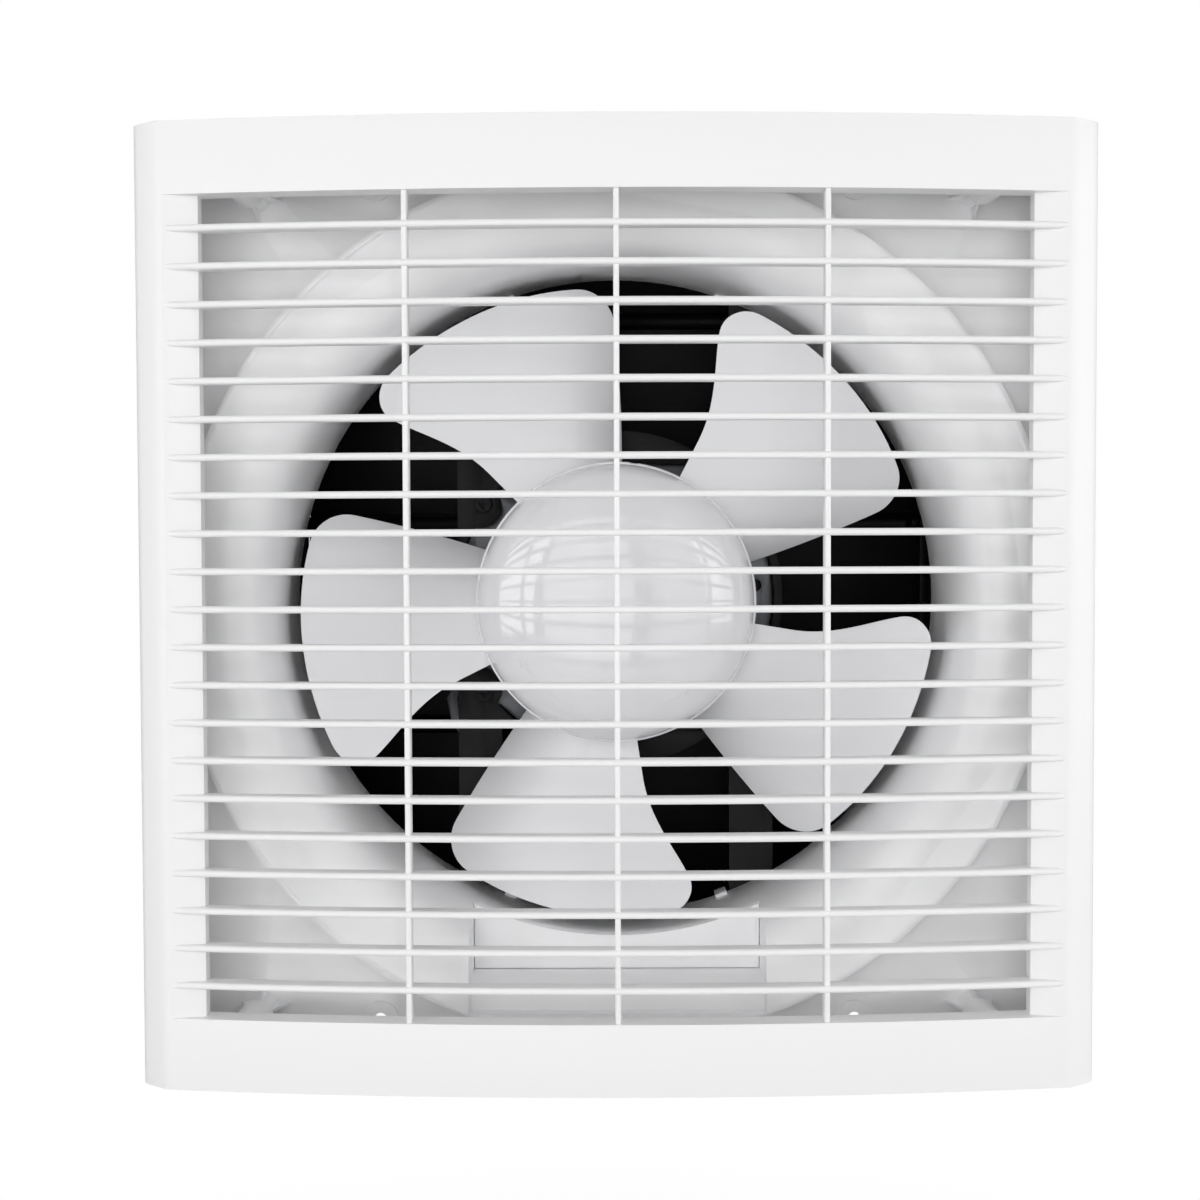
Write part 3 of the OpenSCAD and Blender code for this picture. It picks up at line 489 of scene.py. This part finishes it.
def lathe(bm, profile, place=(0, 0, 0), steps=48):
    """Turns a closed outline of (radius, depth) points about an axis along Y."""
    rings = []
    for r, y in profile:
        if r < 1e-9:
            rings.append([bm.verts.new(Vector(place) + Vector((0, y, 0)))])
        else:
            rings.append([bm.verts.new(Vector(place) + Vector(
                (r * math.cos(2 * math.pi * k / steps), y, r * math.sin(2 * math.pi * k / steps))))
                for k in range(steps)])
    faces = []
    for a, b in zip(rings, rings[1:] + rings[:1]):
        for k in range(steps):
            face = [a[k % len(a)], a[(k + 1) % len(a)], b[(k + 1) % len(b)], b[k % len(b)]]
            face = [v for n, v in enumerate(face) if v not in face[:n]]
            if len(face) > 2:
                faces.append(bm.faces.new(face))
    bmesh.ops.recalc_face_normals(bm, faces=faces)
    return faces


post_x = 133 * MM
post_z = 151 * MM
socket_r = 6.3 * MM
socket_bore_r = 4.3 * MM
socket_mouth = -22 * MM
socket_root = -47.5 * MM


def sockets_mesh():
    """Sockets inside the cover that push over the frame's posts."""
    bm = bmesh.new()
    for sx in (-1, 1):
        for sz in (-1, 1):
            lathe(bm, [(socket_bore_r, socket_mouth), (socket_r, socket_mouth),
                       (socket_r, socket_root), (socket_bore_r, socket_root)],
                  (sx * post_x, 0, sz * post_z), 32)
    return bm


make_piece("cover_sockets", sockets_mesh(), cover_white_with_painted_shade, "cover", "front_grille")

# Frame with the bellmouth
# One white ABS moulding behind the cover: a flange with a rim, the bellmouth and throat, the
# wiring pocket, and the posts that the cover pushes on. It is screwed to the wall.


sharp_angle = math.radians(40)


def smoothing_tree():
    """Node tree that shades a mesh smooth and keeps edges over the sharp angle sharp."""
    tree = mesh_tree("smooth by angle")
    given = add_node(tree, "NodeGroupInput")
    angle = add_node(tree, "GeometryNodeInputMeshEdgeAngle")
    steep = add_node(tree, "FunctionNodeCompare", {"operation": "LESS_THAN"},
                     {"A": angle.outputs["Unsigned Angle"]}, B=sharp_angle)
    faces = add_node(tree, "GeometryNodeSetShadeSmooth", {"domain": "FACE"},
                     {"Geometry": given.outputs[0]})
    edges = add_node(tree, "GeometryNodeSetShadeSmooth", {"domain": "EDGE"},
                     {"Geometry": faces.outputs[0], "Shade Smooth": steep.outputs[0]})
    add_node(tree, "NodeGroupOutput", (), {0: edges.outputs[0]})
    return tree


smooth_by_angle = smoothing_tree()


def dress(name, material, edge=0.3):
    """Gives a CAD node its material, rounded edges and smooth shading."""
    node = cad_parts[name]
    node.data.materials.clear()
    node.data.materials.append(material)
    weld = node.modifiers.new("weld", "WELD")
    weld.merge_threshold = 0.00001
    # Flat faces in one piece, so that the rounding leaves no slivers
    flat = node.modifiers.new("flat", "DECIMATE")
    flat.decimate_type = "DISSOLVE"
    flat.angle_limit = math.radians(0.5)
    round_edges = node.modifiers.new("round_edges", "BEVEL")
    round_edges.limit_method = "ANGLE"
    round_edges.angle_limit = sharp_angle
    round_edges.width = edge * MM
    round_edges.segments = 2
    round_edges.use_clamp_overlap = True
    shade = node.modifiers.new("shade", "NODES")
    shade.node_group = smooth_by_angle
    return node


# Painted light: the frame is the same white ABS as the cover, painted lighter so that the flange and
# bellmouth behind the slats show brighter than their lighting makes them.
frame_white_with_painted_light = abs_plastic("white frame ABS with painted light", "#FCFCFD", 0.3, shade=0.012)
dress("body_frame", frame_white_with_painted_light, 0.3)
dress("terminal_cover", frame_white_with_painted_light, 0.2)

# Wiring
# A screw terminal block and a motor capacitor stand on the casing's floor. The motor's lead
# runs along the left beam under two clips, and the mains cable enters by a rubber ring.
block_nylon = abs_plastic("cream nylon", "#D9D3BD", 0.45)
soft_black = abs_plastic("black rubber", "#1B1B1C", 0.65)
capacitor_case = abs_plastic("dark polypropylene", "#26272B", 0.4)


def metal(name, code, rough, blotch=0.0, size=0.01, brushed=0.0, metallic=1.0):
    """Bare or plated metal: blotches of spangle or tarnish, and fine drawn lines where it was
    turned or brushed."""
    material = bare_material(name)
    tree = material.node_tree
    coords = add_node(tree, "ShaderNodeTexCoord")
    cells = add_node(tree, "ShaderNodeTexVoronoi", (), {"Vector": coords.outputs["Object"]},
                     Scale=1 / size)
    lines = add_node(tree, "ShaderNodeTexNoise", (), {"Vector": coords.outputs["Object"]},
                     Scale=1 / 0.0008, Detail=2.0)
    base = paint(code)
    colour = add_node(tree, "ShaderNodeMix", {"data_type": "RGBA"}, {0: cells.outputs["Color"]})
    colour.inputs[6].default_value = tuple(c * (1 - blotch) for c in base[:3]) + (1,)
    colour.inputs[7].default_value = base
    gloss = add_node(tree, "ShaderNodeMapRange", (), {"Value": cells.outputs["Distance"]},
                     To_Min=rough * 0.8, To_Max=rough * 1.25)
    bump = add_node(tree, "ShaderNodeBump", (), {"Height": lines.outputs[0]},
                    Strength=0.15 + brushed, Distance=0.00004)
    shader = add_node(tree, "ShaderNodeBsdfPrincipled", (),
                      {"Base Color": colour.outputs[2], "Roughness": gloss.outputs[0],
                       "Normal": bump.outputs[0]}, Metallic=metallic)
    add_node(tree, "ShaderNodeOutputMaterial", (), {"Surface": shader.outputs[0]})
    return material


brass = metal("brass", "#C9A24A", 0.3, 0.12, 0.004)
screw_zinc = metal("zinc plated screws", "#B9BBBD", 0.32, 0.1, 0.003)
lead_sheath = abs_plastic("grey cable sheath", "#8F9094", 0.5)
dress("terminal_block", block_nylon, 0.25)
dress("terminal_screws", brass, 0.12)
dress("capacitor", capacitor_case, 0.5)
dress("cable_grommet", soft_black, 0.3)
dress("motor_lead", lead_sheath, 0.0)
clip_black = abs_plastic("black nylon clips", "#161617", 0.4)
dress("lead_clips", clip_black, 0.2)

# Bracket and motor
# Black painted sheet steel: a plate round the throat with two channel beams that carry the
# shaded-pole motor. The motor has two pressed zinc-plated caps round a laminated core.
# The bracket's colour is its real black paint, made darker still as painted shade from the blades and
# hub in front of it.
bracket_black_paint_and_shade = abs_plastic("black painted steel darkened for shade", "#0A0A0B", 0.4, grain=0.12, shine=0.22)
motor_zinc = metal("zinc plated steel", "#6F7174", 0.38, 0.18, 0.006)
dress("motor_bracket", bracket_black_paint_and_shade, 0.8)
dress("motor_front_cap", motor_zinc, 0.5)
dress("motor_rear_cap", motor_zinc, 0.5)


def stacked_steel():
    """Edges of stacked steel plates, seen as fine lines round the core."""
    material = metal("stacked core steel", "#6F6D6A", 0.45, 0.1, 0.008)
    tree = material.node_tree
    coords = add_node(tree, "ShaderNodeTexCoord")
    plate_t = 0.5 * MM
    plates = add_node(tree, "ShaderNodeTexWave", {"bands_direction": "Y"},
                      {"Vector": coords.outputs["Object"]}, Scale=math.pi / (20 * plate_t))
    shader = next(n for n in tree.nodes if n.type == "BSDF_PRINCIPLED")
    relief = add_node(tree, "ShaderNodeBump", (), {"Height": plates.outputs["Fac"]},
                      Strength=0.5, Distance=0.0001)
    tree.links.new(relief.outputs[0], shader.inputs["Normal"])
    return material


copper = metal("enamelled copper wire", "#A5562B", 0.3, 0.25, 0.002)
dress("stator_core", stacked_steel(), 0.2)
dress("stator_windings", copper, 0.3)
dress("rotor_core", metal("cast rotor core", "#77797C", 0.5, 0.1, 0.004), 0.3)
dress("front_bearing", screw_zinc, 0.2)
dress("rear_bearing", screw_zinc, 0.2)
dress("shaft", metal("ground steel shaft", "#B4B6B8", 0.2, 0.05, 0.004), 0.2)
dress("drive_pin", screw_zinc, 0.2)
screw_black = metal("black oxide screws", "#2A2A2C", 0.4, 0.1, 0.003)
dress("motor_screws", screw_black, 0.15)
dress("frame_screws", screw_zinc, 0.15)

# Impeller
# Five swept blades on a deep hub, one moulding of white ABS painted lighter than the cover, as painted
# light against the slats' shade. A cross pin in the shaft drives it, and the hub cap holds it on.
# Painted light: the blades' white is set lighter than the cover's, the same ABS, to make up for the
# shade that the slats cast on them.
blade_plastic_with_painted_light = abs_plastic("white blade ABS with painted light", "#F6F6F8", 0.33, shade=0.02)
hub_r = 54.0
hub_sink = 1.2
blade_r = 125.0
blade_arc = 47.6
blade_sweep = 6.6
blade_lean = 3.8
blade_corner = 13.5
corner_share = blade_corner / (blade_r * math.radians(blade_arc + blade_sweep - blade_lean))
blade_turn = 15.0
blade_front = 23.0
blade_rise = 28.0
blade_even = 0.4
blade_t = 2.2
edge_t = 0.3
blade_count = 5
steps_out = 26
steps_round = 56


def blade_point(u, v, back):
    """A point of one blade: u runs from hub to tip, v from the leading to the trailing edge."""
    root = hub_r - hub_sink
    near_end = max(0.0, 1 - min(v, 1 - v) / corner_share)
    tip = blade_r - blade_corner * (1 - math.sqrt(1 - near_end ** 2))
    r = root + u * (tip - root)
    s = max(0.0, min(1.0, (r - hub_r - 16) / (blade_r - hub_r - 21)))
    lead = blade_arc + blade_sweep * s * s * (3 - 2 * s)
    trail = blade_lean * (r - hub_r) / (blade_r - hub_r)
    a = math.radians((1 - v) * lead + v * trail + blade_turn)
    depth = blade_front + blade_rise * (blade_even * v + (1 - blade_even) * v ** 4)
    if back:
        depth += blade_t * (1 - 0.35 * u) * (0.5 + 0.5 * math.sin(math.pi * v)) + edge_t
    return Vector((r * math.cos(a), depth, r * math.sin(a))) * MM


def blade_mesh():
    """One blade as a closed mesh with a fine grid."""
    bm = bmesh.new()
    shares = [(1 - math.cos(math.pi * j / steps_round)) / 2 for j in range(steps_round + 1)]
    sides = [[[bm.verts.new(blade_point(i / steps_out, v, back)) for v in shares]
              for i in range(steps_out + 1)] for back in (False, True)]
    for grid in sides:
        for i in range(steps_out):
            for j in range(steps_round):
                bm.faces.new((grid[i][j], grid[i + 1][j], grid[i + 1][j + 1], grid[i][j + 1]))
    front, back = sides
    edge = [(i, 0) for i in range(steps_out + 1)]
    edge += [(steps_out, j) for j in range(1, steps_round + 1)]
    edge += [(i, steps_round) for i in range(steps_out - 1, -1, -1)]
    edge += [(0, j) for j in range(steps_round - 1, 0, -1)]
    for (i, j), (k, m) in zip(edge, edge[1:] + edge[:1]):
        bm.faces.new((front[i][j], front[k][m], back[k][m], back[i][j]))
    bmesh.ops.recalc_face_normals(bm, faces=bm.faces)
    return bm


def ring_tree():
    """Node tree that repeats its input round the rotor's axis."""
    tree = mesh_tree("in a ring", Count="Int", Angle="Float", Material="Material")
    given = add_node(tree, "NodeGroupInput")
    points = add_node(tree, "GeometryNodeMeshLine", {"mode": "OFFSET"},
                      {"Count": given.outputs["Count"]}, Offset=(0, 0, 0))
    index = add_node(tree, "GeometryNodeInputIndex")
    turn = add_node(tree, "ShaderNodeMath", {"operation": "MULTIPLY"},
                    {0: index.outputs[0], 1: given.outputs["Angle"]})
    about = add_node(tree, "ShaderNodeCombineXYZ", (), {"Y": turn.outputs[0]})
    spread = add_node(tree, "GeometryNodeInstanceOnPoints", (),
                      {"Points": points.outputs[0], "Instance": given.outputs["Geometry"],
                       "Rotation": about.outputs[0]})
    return end_tree(tree, given, spread)


in_a_ring = ring_tree()
blades = make_piece("blades", blade_mesh(), blade_plastic_with_painted_light, "")
soften = blades.modifiers.new("soften", "BEVEL")
soften.limit_method = "ANGLE"
soften.angle_limit = math.radians(50)
soften.width = 0.5 * MM
soften.segments = 3
finish_modifiers(blades)
repeat(blades, in_a_ring, Count=blade_count, Angle=math.tau / blade_count, Material=blade_plastic_with_painted_light)
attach(blades, "rotor")
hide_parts("impeller")

hub_front = 16.0
hub_back = 52.0
hub_wall = 2.5
boss_r = 11.0
boss_back = 34.0
bore_r = 4.05
rib_depth = 13.0
rib_half = 1.0
ridge = [(hub_r, hub_back), (hub_r, 21), (hub_r - 0.5, 20.6), (hub_r - 0.5, 19.8), (hub_r, 19.4),
         (hub_r, hub_front + 0.8), (hub_r - 0.3, hub_front + 0.2), (hub_r - 0.9, hub_front),
         (bore_r, hub_front), (bore_r, boss_back), (boss_r, boss_back), (boss_r, hub_front + hub_wall),
         (hub_r - hub_wall, hub_front + hub_wall), (hub_r - hub_wall, hub_back)]
hub_bm = bmesh.new()
lathe(hub_bm, [(r * MM, y * MM) for r, y in ridge], (0, 0, 0), 160)
make_piece("hub", hub_bm, blade_plastic_with_painted_light, "rotor", "impeller")
rib_bm = bmesh.new()
block(rib_bm, ((boss_r - 0.5) * MM, (hub_front + 1) * MM, -rib_half * MM),
      ((hub_r - 1) * MM, (hub_front + rib_depth) * MM, rib_half * MM))
ribs = make_piece("hub_ribs", rib_bm, blade_plastic_with_painted_light, "")
repeat(ribs, in_a_ring, Count=blade_count, Angle=math.tau / blade_count, Material=blade_plastic_with_painted_light)
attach(ribs, "rotor")
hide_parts("impeller")
dress("captive_washer", screw_zinc, 0.2)

# Hub cap
# A glossy milky-white dome with a brass nut moulded in. It is screwed on the shaft by hand,
# and two raised curved arrows show the ways to turn.
cap_r = 54.0
cap_rim = 13.7
cap_lip = 3.0
cap_depth = 27.0
cap_wall = 2.2
dome_r = 53.0
dome_power = 0.87
nut_seat = -4.4
nut_r = 6.0
notch_turn = 82


def dome(t, w=0.0):
    """Radius and depth of the dome's outside, drawn in by w; t runs from rim to middle."""
    return ((dome_r - w) * math.cos(t) ** dome_power,
            cap_rim - cap_lip - (cap_depth - cap_lip - w) * math.sin(t) ** dome_power)


def dome_depth(r):
    """Depth of the dome's outside at a radius."""
    return dome(math.acos((r / dome_r) ** (1 / dome_power)))[1]


def cap_mesh():
    """The cap: a rolled rim, the dome, the bore for the nut, and the hollow behind it."""
    turns = 48
    outer = [dome(math.pi / 2 * i / turns) for i in range(2, turns)] + [(0, cap_rim - cap_depth)]
    inner = [dome(math.pi / 2 * i / turns, cap_wall) for i in range(turns - 12, 2, -1)]
    inner = [p for p in inner if p[0] > boss_r + 0.5]
    bead = [(1.6, 1.9), (1.55, 2.2), (1.4, 2.5), (1.2, 2.7), (1.0, 2.8), (0.8, 2.8), (0.65, 2.7)]
    rim = [(dome_r - cap_wall, cap_rim), (cap_r - 0.5, cap_rim), (cap_r - 0.1, cap_rim - 0.3),
           (cap_r, cap_rim - 0.8)] + [(cap_r - 1.6 + x, cap_rim - y) for x, y in bead]
    profile = rim + outer + [(0, nut_seat), (nut_r, nut_seat), (nut_r, cap_rim), (boss_r, cap_rim),
                             (boss_r, inner[0][1])] + inner
    bm = bmesh.new()
    lathe(bm, [(r * MM, y * MM) for r, y in profile], (0, 0, 0), 192)
    # A small notch in the rolled rim
    for v in bm.verts:
        turn = math.degrees(math.atan2(v.co.z, v.co.x))
        if abs(turn - notch_turn) < 1 and math.hypot(v.co.x, v.co.z) > (dome_r + 0.5) * MM:
            v.co.x, v.co.z = (c * (dome_r + 0.4) / cap_r for c in (v.co.x, v.co.z))
    return bm


cap_gloss = abs_plastic("milky white gloss plastic", "#F3F2F5", 0.06, shade=0.01, grain=0.02,
                        shine=1.0)
make_piece("hub_cap", cap_mesh(), cap_gloss, "hub_cap", "spinner")
arrow_r = 41.5
arrow_w = 0.9
arrow_rise = 0.5
arrow_sink = 0.2
head_length = 3.6
head_half = 1.5


def dome_place(r, angle, below):
    """A point at a radius and an angle of the dome, set below its outside by a depth."""
    return Vector((r * math.cos(angle), dome_depth(r) + below, r * math.sin(angle))) * MM


def raised_arrow(bm, start, end):
    """A raised arc on the dome from one angle to another, in degrees, that ends in a point."""
    steps = 14
    tip = math.degrees(head_length / arrow_r) * (1 if end > start else -1)
    rows = [(start + (end - tip - start) * i / steps, arrow_w / 2) for i in range(steps + 1)]
    rows += [(end - tip, head_half), (end - tip * 0.5, 0.8), (end, 0.1)]
    top, low = [], []
    for angle, half in rows:
        a = math.radians(angle)
        for side in (-1, 1):
            low.append(bm.verts.new(dome_place(arrow_r + side * half, a, arrow_sink)))
            top.append(bm.verts.new(dome_place(arrow_r + side * half * 0.8, a, -arrow_rise)))
    last = 2 * len(rows) - 2
    faces = []
    for i in range(0, last, 2):
        faces += [(top[i], top[i + 1], top[i + 3], top[i + 2]),
                  (low[i], low[i + 1], low[i + 3], low[i + 2]),
                  (low[i], top[i], top[i + 2], low[i + 2]),
                  (low[i + 1], top[i + 1], top[i + 3], low[i + 3])]
    faces += [(low[0], low[1], top[1], top[0]), (low[last], low[last + 1], top[last + 1], top[last])]
    for face in faces:
        bm.faces.new(face)


arrows = bmesh.new()
raised_arrow(arrows, 247, 209)
raised_arrow(arrows, 293, 312)
bmesh.ops.recalc_face_normals(arrows, faces=arrows.faces)
make_piece("cap_arrows", arrows, cap_gloss, "hub_cap", "spinner")
dress("spinner_nut", brass, 0.2)

# Casing and backdraft flaps
# The casing tube is black polypropylene. Three flaps hang in white bushes across its back
# end, and a bar joins their cranks, so that they open and close together.
casing_black = abs_plastic("black casing plastic", "#0C0C0D", 0.5, shine=0.2)
flap_black = abs_plastic("black flap plastic", "#0D0D0E", 0.48, shine=0.2)
bush_white = abs_plastic("white acetal", "#E8E8E4", 0.4)
dress("rear_casing", casing_black, 0.4)
for name in ("flap_top", "flap_middle", "flap_bottom"):
    dress(name, flap_black, 0.3)
dress("flap_bushes", bush_white, 0.2)
dress("link_bar", flap_black, 0.3)
